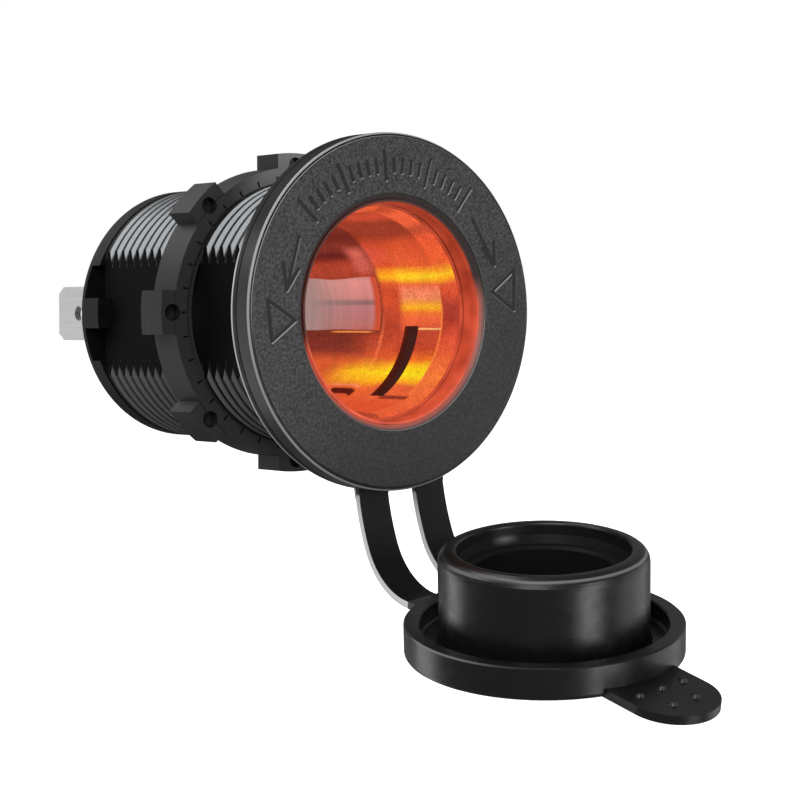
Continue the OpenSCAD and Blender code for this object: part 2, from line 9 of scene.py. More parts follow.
import bmesh
import bpy
import numpy as np
from mathutils import Matrix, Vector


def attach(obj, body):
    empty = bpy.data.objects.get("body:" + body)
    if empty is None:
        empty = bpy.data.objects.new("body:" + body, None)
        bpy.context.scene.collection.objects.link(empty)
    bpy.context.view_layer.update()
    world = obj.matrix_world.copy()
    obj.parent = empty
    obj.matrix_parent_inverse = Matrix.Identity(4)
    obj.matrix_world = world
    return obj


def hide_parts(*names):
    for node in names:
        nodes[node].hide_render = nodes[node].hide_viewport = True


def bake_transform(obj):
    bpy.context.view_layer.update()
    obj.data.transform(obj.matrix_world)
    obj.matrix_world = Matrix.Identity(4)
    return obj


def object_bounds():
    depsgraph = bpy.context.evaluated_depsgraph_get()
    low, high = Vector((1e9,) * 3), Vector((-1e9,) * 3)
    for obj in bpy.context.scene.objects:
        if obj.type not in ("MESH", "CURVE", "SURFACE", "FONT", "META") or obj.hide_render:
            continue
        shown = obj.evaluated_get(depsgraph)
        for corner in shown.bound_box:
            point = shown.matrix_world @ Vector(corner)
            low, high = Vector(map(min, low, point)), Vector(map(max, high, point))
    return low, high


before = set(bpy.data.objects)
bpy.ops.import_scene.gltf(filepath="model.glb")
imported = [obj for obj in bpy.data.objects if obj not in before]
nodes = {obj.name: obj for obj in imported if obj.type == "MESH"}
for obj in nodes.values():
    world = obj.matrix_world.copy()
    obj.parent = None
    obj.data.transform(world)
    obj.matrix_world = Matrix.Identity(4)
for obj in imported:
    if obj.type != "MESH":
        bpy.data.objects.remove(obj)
cad_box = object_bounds()

MM = 0.001

# the body
FACE_Y = -2.95                              # the flange's face
FLANGE_R = 18.65                            # the edge of the flange and of the strap ring behind it
MOUTH_R = 12.3                              # the mouth's edge in the face
BEVEL_Y = -2.3                              # where the mouth's bevel ends
THREAD_FRONT, THREAD_BACK = 1.0, 34.0       # the threaded stretch, y
PITCH, GROOVE_R, CREST_R = 1.5, 13.5, 14.3  # the thread
FLAT_X = 12.5                               # the two flats, left and right
UNDER_NUT = 18.0                            # the middle of the stretch that the nut hides at rest, y
BORE_R = 10.6                               # the metal barrel's bore
SLEEVE_RING_R = 11.5                        # inner edge of the amber sleeve's front ring
BODY_BORE_R = 11.8                          # the body's bore round the sleeve
SEAM_Y = -0.55                              # where the sleeve's glowing edge shows a dark seam

# the straps and the cap, in an upright plane that is turned round the body
STRAP_TURN = 8.0                            # degrees
STRAP_T, STRAP_W, STRAP_GAP = 0.8, 3.9, 3.66
RING_BACK = 0.0                             # the strap ring's rear, y
STUB_Z = -18.9                              # where the ring's stubs end and the straps begin
SPLIT = 0.62                                # the share of a strap's length where its upper piece meets the lower
GENTLE_BEND, FULL_BEND = math.radians(14), math.radians(82)     # a strap's turn after its first arc and at its end
CAP_MIDDLE = np.array([-21.138, -30.874])   # the cap's middle, y and z
CAP_STUB = np.array([14.3, -0.7])           # the middle of the cap's stubs, seen from there along the cap's own axes
CAP_TILT = math.radians(8)                  # the open cap's lean
PLUG_MOUTH = 8.65                           # the plug's hollow at its mouth, radius

# the camera, as fitted to the photograph: millimetres, a direction, degrees and pixels
CAMERA_PLACE = (-143.471, -181.812, -1.037)
CAMERA_AIM = (0.62693, 0.77827, -0.03535)
CAMERA_ROLL = -0.061
FOCAL_PIXELS, PICTURE_PIXELS, SENSOR_MM = 2203.1, 800, 36.0


# ---------------------------------------------------------------- meshes

def mesh_grid(name, points, wrap_u=False, wrap_v=False, sharp=None):
    """A smooth mesh from a grid of points [u, v, xyz] in millimetres.

    Face (i, j) joins grid points (i, j), (i+1, j), (i+1, j+1), (i, j+1); wrapping joins the last row or column to the
    first. sharp is an angle in degrees past which an edge is shaded as a crease.
    """
    nu, nv = points.shape[:2]
    i = np.arange(nu if wrap_u else nu - 1)[:, None]
    j = np.arange(nv if wrap_v else nv - 1)[None, :]
    i2, j2 = (i + 1) % nu, (j + 1) % nv
    quads = np.stack([i * nv + j, i2 * nv + j, i2 * nv + j2, i * nv + j2], axis=-1).reshape(-1, 4)
    mesh = bpy.data.meshes.new(name)
    mesh.vertices.add(nu * nv)
    mesh.vertices.foreach_set("co", (points.reshape(-1) * MM).astype(np.float32))
    mesh.loops.add(quads.size)
    mesh.loops.foreach_set("vertex_index", quads.reshape(-1).astype(np.int32))
    mesh.polygons.add(len(quads))
    mesh.polygons.foreach_set("loop_start", np.arange(0, quads.size, 4, dtype=np.int32))
    mesh.polygons.foreach_set("use_smooth", np.ones(len(quads), bool))
    mesh.update(calc_edges=True)
    mesh.validate()
    obj = bpy.data.objects.new(name, mesh)
    bpy.context.scene.collection.objects.link(obj)
    if sharp is not None:
        mesh.set_sharp_from_angle(angle=math.radians(sharp))
    return obj


def point_outwards(obj):
    """Merges doubled points at poles and seams, then turns every face outwards."""
    bm = bmesh.new()
    bm.from_mesh(obj.data)
    bmesh.ops.remove_doubles(bm, verts=bm.verts, dist=1e-7)
    bmesh.ops.dissolve_degenerate(bm, dist=1e-8, edges=bm.edges)
    bmesh.ops.recalc_face_normals(bm, faces=bm.faces)
    bm.to_mesh(obj.data)
    bm.free()
    return obj


def turned(name, profile, steps, sharp=None):
    """A solid turned round the Y axis: profile [k, (r, y)] is a closed loop, point = (r cos a, y, r sin a)."""
    angle = np.linspace(0, 2 * np.pi, steps, endpoint=False)[:, None]
    r, y = profile[None, :, 0], profile[None, :, 1]
    points = np.stack([r * np.cos(angle), y + 0 * angle, r * np.sin(angle)], axis=-1)
    return point_outwards(mesh_grid(name, points, True, True, sharp))


def strap_plane(points):
    """Points [x across, y, z] of the straps' upright plane, turned by STRAP_TURN about Y into the row frame."""
    a = math.radians(STRAP_TURN)
    x, y, z = points[..., 0], points[..., 1], points[..., 2]
    return np.stack([x * math.cos(a) - z * math.sin(a), y, x * math.sin(a) + z * math.cos(a)], axis=-1)


# ---------------------------------------------------------------- node helpers

def linear(code):
    """An sRGB colour such as "2b2b2d" as linear RGBA."""
    c = np.array([int(code[k:k + 2], 16) for k in (0, 2, 4)]) / 255
    c = np.where(c <= 0.04045, c / 12.92, ((c + 0.055) / 1.055) ** 2.4)
    return (*c.tolist(), 1.0)


def node(tree, kind, settings=None, **links):
    """Adds a node. settings go to its properties; links go to its inputs, by name with _ for a space or by i0, i1 ...

    A link is another node's output socket, or a value that is set on the input.
    """
    n = tree.nodes.new(kind)
    for key, value in (settings or {}).items():
        setattr(n, key, value)
    for key, value in links.items():
        socket = n.inputs[int(key[1:])] if key[0] == "i" and key[1:].isdigit() else n.inputs[key.replace("_", " ")]
        if isinstance(value, bpy.types.NodeSocket):
            tree.links.new(value, socket)
        else:
            socket.default_value = value
    return n


def maths(tree, kind, a, b=0.0, c=0.0):
    """A Math node of the given kind over a and, where it takes them, b and c."""
    return node(tree, "ShaderNodeMath", {"operation": kind}, i0=a, i1=b, i2=c).outputs[0]


def product(tree, first, *others):
    """All of them multiplied."""
    for other in others:
        first = maths(tree, "MULTIPLY", first, other)
    return first


def rest(tree, mask):
    """What a mask leaves: 1 - mask."""
    return maths(tree, "SUBTRACT", 1.0, mask)


def vector_maths(tree, kind, a, b=(0, 0, 0)):
    """The outputs of a Vector Math node of the given kind."""
    return node(tree, "ShaderNodeVectorMath", {"operation": kind}, i0=a, i1=b).outputs


def mapped(tree, value, low, high, to_low=0.0, to_high=1.0, how="LINEAR"):
    """Carries value from the range low to high over to to_low to to_high, and holds it at the ends."""
    return node(tree, "ShaderNodeMapRange", {"interpolation_type": how}, Value=value, From_Min=low, From_Max=high,
                To_Min=to_low, To_Max=to_high).outputs[0]


def step(tree, value, low, high):
    """0 below low, 1 above high, and a smooth rise between them, both in millimetres."""
    return mapped(tree, value, low * MM, high * MM, how="SMOOTHSTEP")


def within(tree, value, low, high, soft=0.05):
    """1 where value lies between low and high, in millimetres, else 0."""
    return product(tree, step(tree, value, low - soft, low + soft),
                   rest(tree, step(tree, value, high - soft, high + soft)))


def mixed(tree, mask, first, second, kind="RGBA"):
    """first where mask is 0 and second where it is 1: colours or, with kind FLOAT, numbers."""
    a, b, out = ("i2", "i3", 0) if kind == "FLOAT" else ("i6", "i7", 2)
    return node(tree, "ShaderNodeMix", {"data_type": kind}, i0=mask, **{a: first, b: second}).outputs[out]


def ramp(tree, fac, stops):
    """A colour ramp over fac, from stops of (place, sRGB hex)."""
    n = node(tree, "ShaderNodeValToRGB", i0=fac)
    el = n.color_ramp.elements
    while len(el) > 1:
        el.remove(el[0])
    el[0].position, el[0].color = stops[0][0], linear(stops[0][1])
    for place, code in stops[1:]:
        el.new(place).color = linear(code)
    return n.outputs[0]


def noise(tree, where, size_mm, detail=2.0, rough=0.5):
    """A noise whose features are about size_mm across."""
    n = node(tree, "ShaderNodeTexNoise", Vector=where, Scale=1000 / size_mm, Detail=detail, Roughness=rough)
    return n.outputs["Fac"]


def drawn_out(tree, where, scale):
    """Coordinates scaled on each axis, so that a noise over them is drawn out where the scale is small."""
    return node(tree, "ShaderNodeMapping", {"vector_type": "POINT"}, Vector=where, Scale=scale).outputs[0]


def camera_rays(tree):
    """1 for rays from the camera, 0 for reflected and lighting rays."""
    return node(tree, "ShaderNodeLightPath").outputs["Is Camera Ray"]


def normals(tree):
    """The surface normal's X, Y and Z, as outputs."""
    return node(tree, "ShaderNodeSeparateXYZ", Vector=node(tree, "ShaderNodeNewGeometry").outputs["Normal"]).outputs


def axis_place(tree, where):
    """x, y, z and the distance from the body's axis, as sockets."""
    split = node(tree, "ShaderNodeSeparateXYZ", Vector=where)
    x, y, z = (split.outputs[k] for k in "XYZ")
    return x, y, z, maths(tree, "SQRT", maths(tree, "MULTIPLY_ADD", x, x, product(tree, z, z)))


def lower_right(tree, x, z):
    """1 on the lower and right part of a ring round the axis, 0 on its upper left.

    That is the side where the lamps' spill is painted on, seen from the front.
    """
    along = maths(tree, "MULTIPLY_ADD", x, 0.26, product(tree, z, -0.97))
    return step(tree, along, -1.2, 2.4)


def tint(tree, shader, mask, colour, rough=None, shine=None):
    """Mixes another colour, and a roughness and specular level where given, into a shader where mask is 1."""
    for name, value in (("Base Color", linear(colour)), ("Roughness", rough), ("Specular IOR Level", shine)):
        if value is None:
            continue
        socket = shader.inputs[name]
        was = socket.links[0].from_socket if socket.links else socket.default_value
        kind = "RGBA" if name == "Base Color" else "FLOAT"
        tree.links.new(mixed(tree, mask, was, value, kind), socket)


def bump(tree, shader, height, strength, depth_mm):
    """Fine relief from a height socket."""
    relief = node(tree, "ShaderNodeBump", Strength=strength, Distance=depth_mm * MM, Height=height)
    tree.links.new(relief.outputs["Normal"], shader.inputs["Normal"])


def light_up(tree, shader, colour, power):
    """Links a shader's emission to a colour and a strength socket."""
    tree.links.new(colour, shader.inputs["Emission Color"])
    tree.links.new(power, shader.inputs["Emission Strength"])


def opened(mat):
    """A material's tree, its shader and the Object coordinates."""
    tree = mat.node_tree
    return tree, tree.nodes["Principled BSDF"], node(tree, "ShaderNodeTexCoord").outputs["Object"]


def start(name):
    """A new material, and its tree, shader and Object coordinates."""
    mat = bpy.data.materials.new(name)
    mat.use_nodes = True
    return (mat, *opened(mat))


# ---------------------------------------------------------------- materials

def grained_nylon(name, dark, light, rough, grain_mm, grain_depth, shine):
    """Glass-filled nylon, injection moulded in a spark-eroded tool: matt black with a fine even grain that greys it."""
    mat, tree, shader, where = start(name)
    fine, coarse = noise(tree, where, grain_mm, 3.0), noise(tree, where, grain_mm * 9)
    both = maths(tree, "MULTIPLY_ADD", coarse, 0.12, fine)
    tree.links.new(ramp(tree, both, [(0.4, dark), (0.76, light)]), shader.inputs["Base Color"])
    tree.links.new(mapped(tree, both, 0.3, 0.9, rough - 0.06, rough + 0.06), shader.inputs["Roughness"])
    bump(tree, shader, fine, 0.6, grain_depth)
    shader.inputs["Specular IOR Level"].default_value = shine
    return mat


def body_nylon():
    """The body's nylon: grained, dull and dark on the two flats and the collar.

    The thread's flanks get painted light, pale above and grey below, with painted shade on the crests between them.
    Painted shade darkens the brim towards the top, and a painted highlight runs round its front edge.
    """
    mat = grained_nylon("Glass-filled nylon, moulded, body", "1a1a1b", "272728", 0.42, 0.3, 0.02, 0.3)
    tree, shader, where = opened(mat)
    x, y, z, radius = axis_place(tree, where)
    behind_brim = step(tree, y, 0.5, 0.6)

    # painted light: the thread is tinted paler than the body, palest on its upper part, in place of its sheen
    thread = product(tree, within(tree, y, THREAD_FRONT - 0.1, THREAD_BACK),
                     step(tree, radius, GROOVE_R + 0.18, GROOVE_R + 0.45))
    # the thread's painted highlight is dimmed at the top behind the nut
    rear_top = product(tree, step(tree, y, UNDER_NUT - 1, UNDER_NUT + 1), step(tree, z, 10, 13.5))
    upper = product(tree, step(tree, z, -7, 7), maths(tree, "MULTIPLY_ADD", rear_top, -0.75, 1.0))
    crest_shade = product(tree, within(tree, y, THREAD_FRONT + 0.2, THREAD_BACK),
                    step(tree, radius, CREST_R - 0.06, CREST_R - 0.02))
    flat = product(tree, within(tree, maths(tree, "ABSOLUTE", x), FLAT_X - 0.05, FLAT_X + 0.05, 0.02), behind_brim)
    collar = step(tree, y, THREAD_BACK - 0.1, THREAD_BACK + 0.1)
    brim_top_shade = product(tree, step(tree, radius, FLANGE_R - 1.65, FLANGE_R - 1.45), rest(tree, behind_brim),
                       step(tree, z, 4, 10))
    front_edge_highlight = product(tree, step(tree, radius, FLANGE_R - 0.23, FLANGE_R - 0.13),
                         rest(tree, step(tree, y, FACE_Y + 0.2, FACE_Y + 0.32)))
    # painted light and shade: the thread's pale tints, the dark crests and brim top, and the bright front edge
    for mask, code, rough, shine in (
            (thread, "747678", 0.5, 0.4), (product(tree, thread, upper), "ced1d4", 0.42, 0.5),
            (crest_shade, "18191a", 0.6, 0.15), (flat, "0a0a0b", 0.9, 0.08), (collar, "0c0c0d", 0.6, 0.15),
            (brim_top_shade, "08080a", 0.6, 0.1), (front_edge_highlight, "a4a4a4", 0.3, 0.5)):
        tint(tree, shader, mask, code, rough, shine)

    # painted light: the lamps' spill over the mouth's bevel, and a little through the sleeve's cut-outs onto the bore's
    # wall, painted as emission
    bevel = rest(tree, maths(tree, "MAXIMUM", step(tree, radius, MOUTH_R - 0.03, MOUTH_R),
                             step(tree, y, BEVEL_Y - 0.05, BEVEL_Y)))
    inside = product(tree, step(tree, y, 0.5, 1.0), rest(tree, step(tree, radius, BODY_BORE_R, BODY_BORE_R + 0.1)))
    lit = ramp(tree, mapped(tree, radius, (BODY_BORE_R - 0.1) * MM, MOUTH_R * MM),
               [(0.0, "c05a48"), (0.5, "a05a50"), (1.0, "50403e")])
    glow = mixed(tree, lower_right(tree, x, z), linear("302826"), lit)
    power = maths(tree, "MULTIPLY_ADD", inside, 0.1, product(tree, bevel, 0.9))
    light_up(tree, shader, glow, product(tree, camera_rays(tree), power))
    return mat


def nut_nylon():
    """The nut's nylon: grained, with painted light on the front face and a painted highlight there towards the top."""
    mat = grained_nylon("Glass-filled nylon, moulded, nut", "1c1d1d", "2a2b2b", 0.55, 0.4, 0.015, 0.2)
    tree, shader, where = opened(mat)
    x, _, z, _ = axis_place(tree, where)
    ahead = mapped(tree, normals(tree)["Y"], -0.9, -0.98)
    # painted light on the front face, and a painted highlight on its upper left
    tint(tree, shader, ahead, "434444")
    tint(tree, shader, product(tree, ahead, step(tree, x, -9.5, -3), step(tree, z, 9, 12)), "8e8f8f")
    return mat


def face_nylon():
    """The face's nylon: coarsely grained, with painted shade that darkens it to the lower right.

    The sunk marks have painted shade on their floors, and a painted highlight on their sides that look up.
    """
    mat = grained_nylon("Glass-filled nylon, moulded, grained face", "060606", "4f4d4e", 0.5, 0.3, 0.1, 0.5)
    tree, shader, where = opened(mat)
    x, y, z, _ = axis_place(tree, where)
    normal = normals(tree)
    # painted shade, darker to the lower right
    painted_shade = step(tree, maths(tree, "MULTIPLY_ADD", x, 0.5, product(tree, z, -0.87)), -4, 16)
    sunk = step(tree, y, FACE_Y - 0.085, FACE_Y - 0.03)
    looks_up = mapped(tree, maths(tree, "MULTIPLY_ADD", normal["X"], -0.4, normal["Z"]), 0.15, 0.4)
    tint(tree, shader, product(tree, painted_shade, 0.6), "0e0c0d")
    # painted shade on the marks' floors and a painted highlight on their sides that look up
    tint(tree, shader, sunk, "080808", 0.6)
    tint(tree, shader, product(tree, sunk, looks_up), "b4b4b4", 0.5)
    return mat


def soft_rubber(name, colour, rough, bloom):
    """TPE rubber, moulded in a polished tool: deep black with a satin shine and a faint grey bloom in patches."""
    mat, tree, shader, where = start(name)
    patches = noise(tree, where, 4.0, 3.0)
    tree.links.new(ramp(tree, patches, [(0.35, colour), (0.75, bloom)]), shader.inputs["Base Color"])
    spread = mapped(tree, noise(tree, where, 1.2), 0.3, 0.7, rough - 0.04, rough + 0.05)
    tree.links.new(spread, shader.inputs["Roughness"])
    bump(tree, shader, noise(tree, where, 0.6), 0.12, 0.01)
    shader.inputs["IOR"].default_value = 1.5
    return mat


def cap_rubber():
    """The cap's rubber: polished outside and dull in its hollow, with a painted highlight on the plug's shoulder and a
    painted glint inside.

    along and radius are measured from the cap's middle on its own axis; the plug points to negative along.
    """
    mat = soft_rubber("TPE rubber, moulded, cap", "0e0e0f", 0.30, "151516")
    tree, shader, where = opened(mat)
    middle = tuple(float(v) * MM for v in strap_plane(np.array([0.0, *CAP_MIDDLE])))
    axis = tuple(float(v) for v in strap_plane(np.array([0.0, math.sin(CAP_TILT), -math.cos(CAP_TILT)])))
    off = vector_maths(tree, "SUBTRACT", where, middle)[0]
    side = node(tree, "ShaderNodeSeparateXYZ", Vector=off).outputs["X"]
    along = vector_maths(tree, "DOT_PRODUCT", off, axis)["Value"]
    radius = vector_maths(tree, "LENGTH", vector_maths(tree, "CROSS_PRODUCT", off, axis)[0])["Value"]
    hollow = rest(tree, maths(tree, "MAXIMUM", step(tree, radius, PLUG_MOUTH - 0.15, PLUG_MOUTH),
                              step(tree, along, 2.0, 2.1)))
    shoulder = product(tree, step(tree, radius, PLUG_MOUTH + 1.25, PLUG_MOUTH + 1.5),
                       within(tree, along, -7.5, -7.1, 0.2))
    ahead = mapped(tree, normals(tree)["Y"], -0.25, -0.6)
    glint = product(tree, hollow, ahead, within(tree, along, -6.3, -5.9, 0.5), within(tree, side, 0.6, 1.8, 1.2))
    tint(tree, shader, hollow, "171718", 0.5, 0.12)
    # painted highlight round the plug's shoulder, brightest on its front
    tint(tree, shader, shoulder, "2c2c2d", 0.3)
    tint(tree, shader, product(tree, shoulder, ahead), "9a9a9c", 0.3)
    # painted glint inside the hollow
    tint(tree, shader, glint, "9a9a9a", 0.4)
    return mat


def strap_rubber():
    """The straps' rubber, with painted light that makes it greyer towards the cap.

    The straps' cut left edges and the ring's rear edge get painted highlights; painted shade darkens the ring
    towards the top.
    """
    mat = soft_rubber("TPE rubber, moulded, straps", "0c0c0d", 0.5, "131314")
    tree, shader, where = opened(mat)
    shader.inputs["Specular IOR Level"].default_value = 0.25
    _, y, z, radius = axis_place(tree, where)
    ring = step(tree, z, STUB_Z - 0.4, STUB_Z)
    hanging = rest(tree, ring)
    left = mapped(tree, normals(tree)["X"], -0.75, -0.9)
    rear = product(tree, ring, step(tree, y, RING_BACK - 0.3, RING_BACK - 0.15), rest(tree, step(tree, z, 4, 9)),
                   step(tree, radius, FLANGE_R - 0.3, FLANGE_R - 0.15))
    # painted light near the cap, painted highlights on the edges, and painted shade on the ring's top
    tint(tree, shader, product(tree, hanging, rest(tree, step(tree, y, -20, -10))), "383839")
    tint(tree, shader, product(tree, hanging, left), "e4e4e4", 0.5)
    tint(tree, shader, product(tree, ring, step(tree, z, 4, 10)), "050506", 0.6, 0.1)
    tint(tree, shader, rear, "c4c4c4", 0.35)
    return mat


def painted_light_barrel():
    """The nickel-plated barrel, with the lamps' amber light on it painted as emission.

    The plated wall's reflection of the lit sleeve is painted in long streaks along the axis. The painted glow is drawn
    from the angle round the bore, in degrees above the horizontal, and from the depth behind the flange's face, the
    same on
    both sides: a plain zone at the rim, one up to the bore's step, with the pressed panel in front of each locking
    slot, and the darker rear. The slots' cut edges get painted shade.
    """
    mat, tree, shader, where = start("Nickel-plated steel, drawn, painted amber reflection")
    x, y, z, radius = axis_place(tree, where)
    up = product(tree, z, maths(tree, "SIGN", x))
    turn = product(tree, maths(tree, "ARCTAN2", up, maths(tree, "ABSOLUTE", x)), 180 / math.pi * MM)
    depth = maths(tree, "SUBTRACT", y, FACE_Y * MM)
    # the painted reflection's streaks wander a little, as on a wall that isn't a perfect mirror
    wander = maths(tree, "MULTIPLY_ADD", noise(tree, drawn_out(tree, where, (1.0, 0.3, 1.0)), 4.0), 7 * MM, turn)
    place = mapped(tree, wander, -86.5 * MM, 93.5 * MM)

    def streaks(stops):
        """A zone's tones, from stops of (degrees, sRGB hex)."""
        return ramp(tree, place, [((deg + 90) / 180, code) for deg, code in stops])

    def patch(depths, soft, turns, soft_turn):
        """A mask over a span of depth and a span of degrees."""
        return product(tree, within(tree, depth, *depths, soft), within(tree, turn, *turns, soft_turn))

    rim = streaks([(-90, "e25c34"), (-70, "e8603a"), (-50, "f0703a"), (-40, "f27a38"), (-25, "e45c38"), (-12, "d04a32"),
                   (-4, "a83a2c"), (4, "b04030"), (10, "d24f34"), (17, "e05a35"), (20, "ffa824"), (23, "ffc226"),
                   (26, "f29028"), (30, "e86032"), (48, "ea5c38"), (56, "b84a30"), (64, "f0643c"), (76, "ee623c"),
                   (90, "c24a2e")])
    near = streaks([(-90, "d04a2c"), (-66, "e2562e"), (-57, "e86438"), (-50, "e05c34"), (-45, "ffb41e"),
                    (-40, "ffe020"), (-35, "ffd020"), (-29, "ee7026"), (-22, "c4482c"), (-12, "c04a30"),
                    (-9, "e05a38"), (-3, "f26a3c"), (0, "f47a34"), (3, "ffb428"), (6, "fa9a44"), (9, "f58a60"),
                    (14, "f5845e"), (18, "ea6a3e"), (20, "ffa824"), (22.5, "ffd42a"), (25, "ffb026"), (29, "ea6432"),
                    (34, "e05a34"), (46, "d2502e"), (53, "9c3c28"), (66, "983a26"), (74, "cc4c30"), (90, "b5452c")])
    middle = streaks([(-90, "c8452a"), (-66, "dc5430"), (-52, "ee6a30"), (-46, "ffb020"), (-40, "ffd020"),
                      (-34, "f49a26"), (-28, "dc5a30"), (-16, "c44a30"), (-8, "b8442e"), (0, "c84c30"), (6, "d8522f"),
                      (14, "cc4c2e"), (18.5, "e4602e"), (22, "ffb020"), (25, "ff9c22"), (29, "e0582e"), (36, "dc563c"),
                      (46, "c84a2e"), (53, "9c3c28"), (66, "a43e28"), (90, "b5452c")])
    far = streaks([(-90, "d04a2c"), (-60, "c8482c"), (-52, "ee6a40"), (-46, "f8a028"), (-40, "ffb01e"), (-33, "d85a2e"),
                   (-25, "88342a"), (-16, "783024"), (-12, "7c3022"), (20, "a43f2b"), (27, "b4442e"), (32, "b0422d"),
                   (35, "842c22"), (37.5, "60231d"), (41, "7c2e26"), (46, "843328"), (54, "702820"), (64, "803022"),
                   (76, "b0452c"), (90, "c04a2e")])
    # the rear zone begins at the bore's step above, and gradually below
    rear = mixed(tree, rest(tree, step(tree, turn, -16, -9)), step(tree, depth, 14.9, 15.4), step(tree, depth, 13, 22),
                 "FLOAT")
    cut = product(tree, step(tree, radius, BORE_R + 0.01, BORE_R + 0.04), step(tree, depth, 5.5, 6.0))
    glow = rim
    for mask, tone in (
            (step(tree, depth, 5.0, 5.25), near),
            (step(tree, depth, 11.2, 12.8), middle),
            (rear, far),
            # painted lines of light and shade on the pressed panel's edges and on the window low in the rear
            (patch((15.5, 18.5), 1.2, (26, 44), 4.0), linear("cc6052")),
            (product(tree, step(tree, x, 3, -3), step(tree, turn, 52, 64)), linear("a8402c")),
            (product(tree, step(tree, depth, 17, 24), within(tree, turn, -52, -31, 4.0)), linear("d85a2e")),
            (patch((17, 24), 1.0, (-12.4, -11.4), 0.3), linear("f8944c")),
            (patch((4.95, 5.25), 0.12, (-56, 5), 1.5), linear("f6803e")),
            (patch((5.1, 9.2), 0.2, (-10.2, -9.2), 0.4), linear("ffc07a")),
            (patch((4.6, 9.4), 0.3, (-62, -58), 1.2), linear("8a3220")),
            (patch((14.6, 19.5), 0.2, (-51.5, -50), 0.6), linear("ee8a5c")),
            (patch((14.8, 18.8), 0.3, (-60, -54), 1.0), linear("54170e")),
            (cut, linear("521a12"))):
        glow = mixed(tree, mask, glow, tone)
    speck = mapped(tree, noise(tree, where, 0.22, 3.0, 0.75), 0.34, 0.66, 0.7, 1.32)
    cloud = mapped(tree, noise(tree, where, 2.4), 0.3, 0.7, 0.9, 1.1)
    # painted reflection: the amber glow is emission on the metal
    light_up(tree, shader, glow, product(tree, speck, cloud, mapped(tree, camera_rays(tree), 0, 1, 0.15, 0.95)))
    shader.inputs["Base Color"].default_value = linear("703820")
    # painted shade on the slots' cut edges
    tint(tree, shader, cut, "140805")
    shader.inputs["Metallic"].default_value = 1.0
    shader.inputs["Roughness"].default_value = 0.34
    bump(tree, shader, noise(tree, where, 0.3, 3.0), 0.3, 0.01)
    return mat


def painted_glow_amber():
    """Amber polycarbonate, moulded clear: the lamps' light that it carries to its edge is painted on as a red-orange
    glow.

    The front ring's painted glow lies below and on the right only, and painted shade darkens its edge at the upper
    left;
    the wall behind it glows less at the upper left. A dark seam lies before the barrel's edge.
    """
    mat, tree, shader, where = start("Amber polycarbonate, moulded, painted glow")
    cloud = noise(tree, where, 3.0)
    tree.links.new(ramp(tree, cloud, [(0.3, "8a2e18"), (0.7, "a8401f")]), shader.inputs["Base Color"])
    x, y, z, radius = axis_place(tree, where)
    mouth = rest(tree, step(tree, y, 0.5, 1.5))
    away = rest(tree, lower_right(tree, x, z))
    ring = product(tree, away, step(tree, radius, SLEEVE_RING_R - 0.08, SLEEVE_RING_R))
    seam = within(tree, y, SEAM_Y - 0.15, SEAM_Y + 0.1, 0.08)
    clear = maths(tree, "MULTIPLY_ADD", away, -0.35, maths(tree, "MULTIPLY_ADD", seam, -0.6, 1.0))
    clear = maths(tree, "MAXIMUM", 0.0, maths(tree, "MULTIPLY_ADD", ring, -0.6, clear))
    # painted glow: emission in place of the lamps' light carried in the sleeve
    power = mapped(tree, product(tree, mouth, clear, camera_rays(tree)), 0, 1, 0.05, 0.85)
    light_up(tree, shader, ramp(tree, cloud, [(0.3, "a83c28"), (0.7, "d8553a")]), power)
    # painted shade on the ring's edge at the upper left
    tint(tree, shader, ring, "120c0b")
    shader.inputs["Roughness"].default_value = 0.4
    shader.inputs["IOR"].default_value = 1.58
    shader.inputs["Subsurface Weight"].default_value = 0.2
    shader.inputs["Subsurface Scale"].default_value = 1.0 * MM
    return mat


def plated(name, colours, rough, glow=None, glow_power=0.0):
    """Plated sheet metal, stamped: a pale satin metal with fine drawing lines along Y."""
    mat, tree, shader, where = start(name)
    grain = noise(tree, drawn_out(tree, where, (1.0, 0.06, 1.0)), 0.3, 3.0)
    tree.links.new(ramp(tree, grain, [(0.3, colours[0]), (0.7, colours[1])]), shader.inputs["Base Color"])
    tree.links.new(mapped(tree, grain, 0.3, 0.7, rough - 0.05, rough + 0.08), shader.inputs["Roughness"])
    bump(tree, shader, grain, 0.2, 0.008)
    shader.inputs["Metallic"].default_value = 1.0
    # an optional painted glow: emission in place of the lamps' light on the metal
    if glow:
        shader.inputs["Emission Color"].default_value = linear(glow)
        shader.inputs["Emission Strength"].default_value = glow_power
    return mat


def painted_light_spring():
    """The side springs: polished nickel silver, with its reflection of the amber light painted on in bands along the
    axis.

    The painted bands follow the height z: pink above, a grey line near the middle and a darker foot. The tone greys
    towards the rear, and the front end is orange.
    """
    mat, tree, shader, where = start("Nickel silver, stamped, painted amber reflection")
    x, y, z, _ = axis_place(tree, where)
    up = mapped(tree, product(tree, z, maths(tree, "SIGN", x)), -2.05 * MM, 4.1 * MM)
    tone = ramp(tree, up, [(0.0, "30130e"), (0.03, "b8625a"), (0.10, "b86e68"), (0.46, "b9767a"), (0.5, "8f6664"),
                           (0.56, "9a6e6c"), (0.6, "cc817a"), (0.9, "dd8d86"), (1.0, "c9857d")])
    tone = mixed(tree, mapped(tree, y, 16 * MM, 26 * MM), tone, linear("a08480"))
    tone = mixed(tree, rest(tree, step(tree, y, 12.9, 13.7)), tone, linear("cc5034"))
    drawn = mapped(tree, noise(tree, drawn_out(tree, where, (0.1, 1.0, 0.1)), 1.2), 0.3, 0.7, 0.9, 1.1)
    # painted reflection, as emission
    light_up(tree, shader, tone, product(tree, drawn, mapped(tree, camera_rays(tree), 0, 1, 0.2, 1.0)))
    shader.inputs["Base Color"].default_value = linear("6a5450")
    shader.inputs["Metallic"].default_value = 1.0
    shader.inputs["Roughness"].default_value = 0.35
    return mat


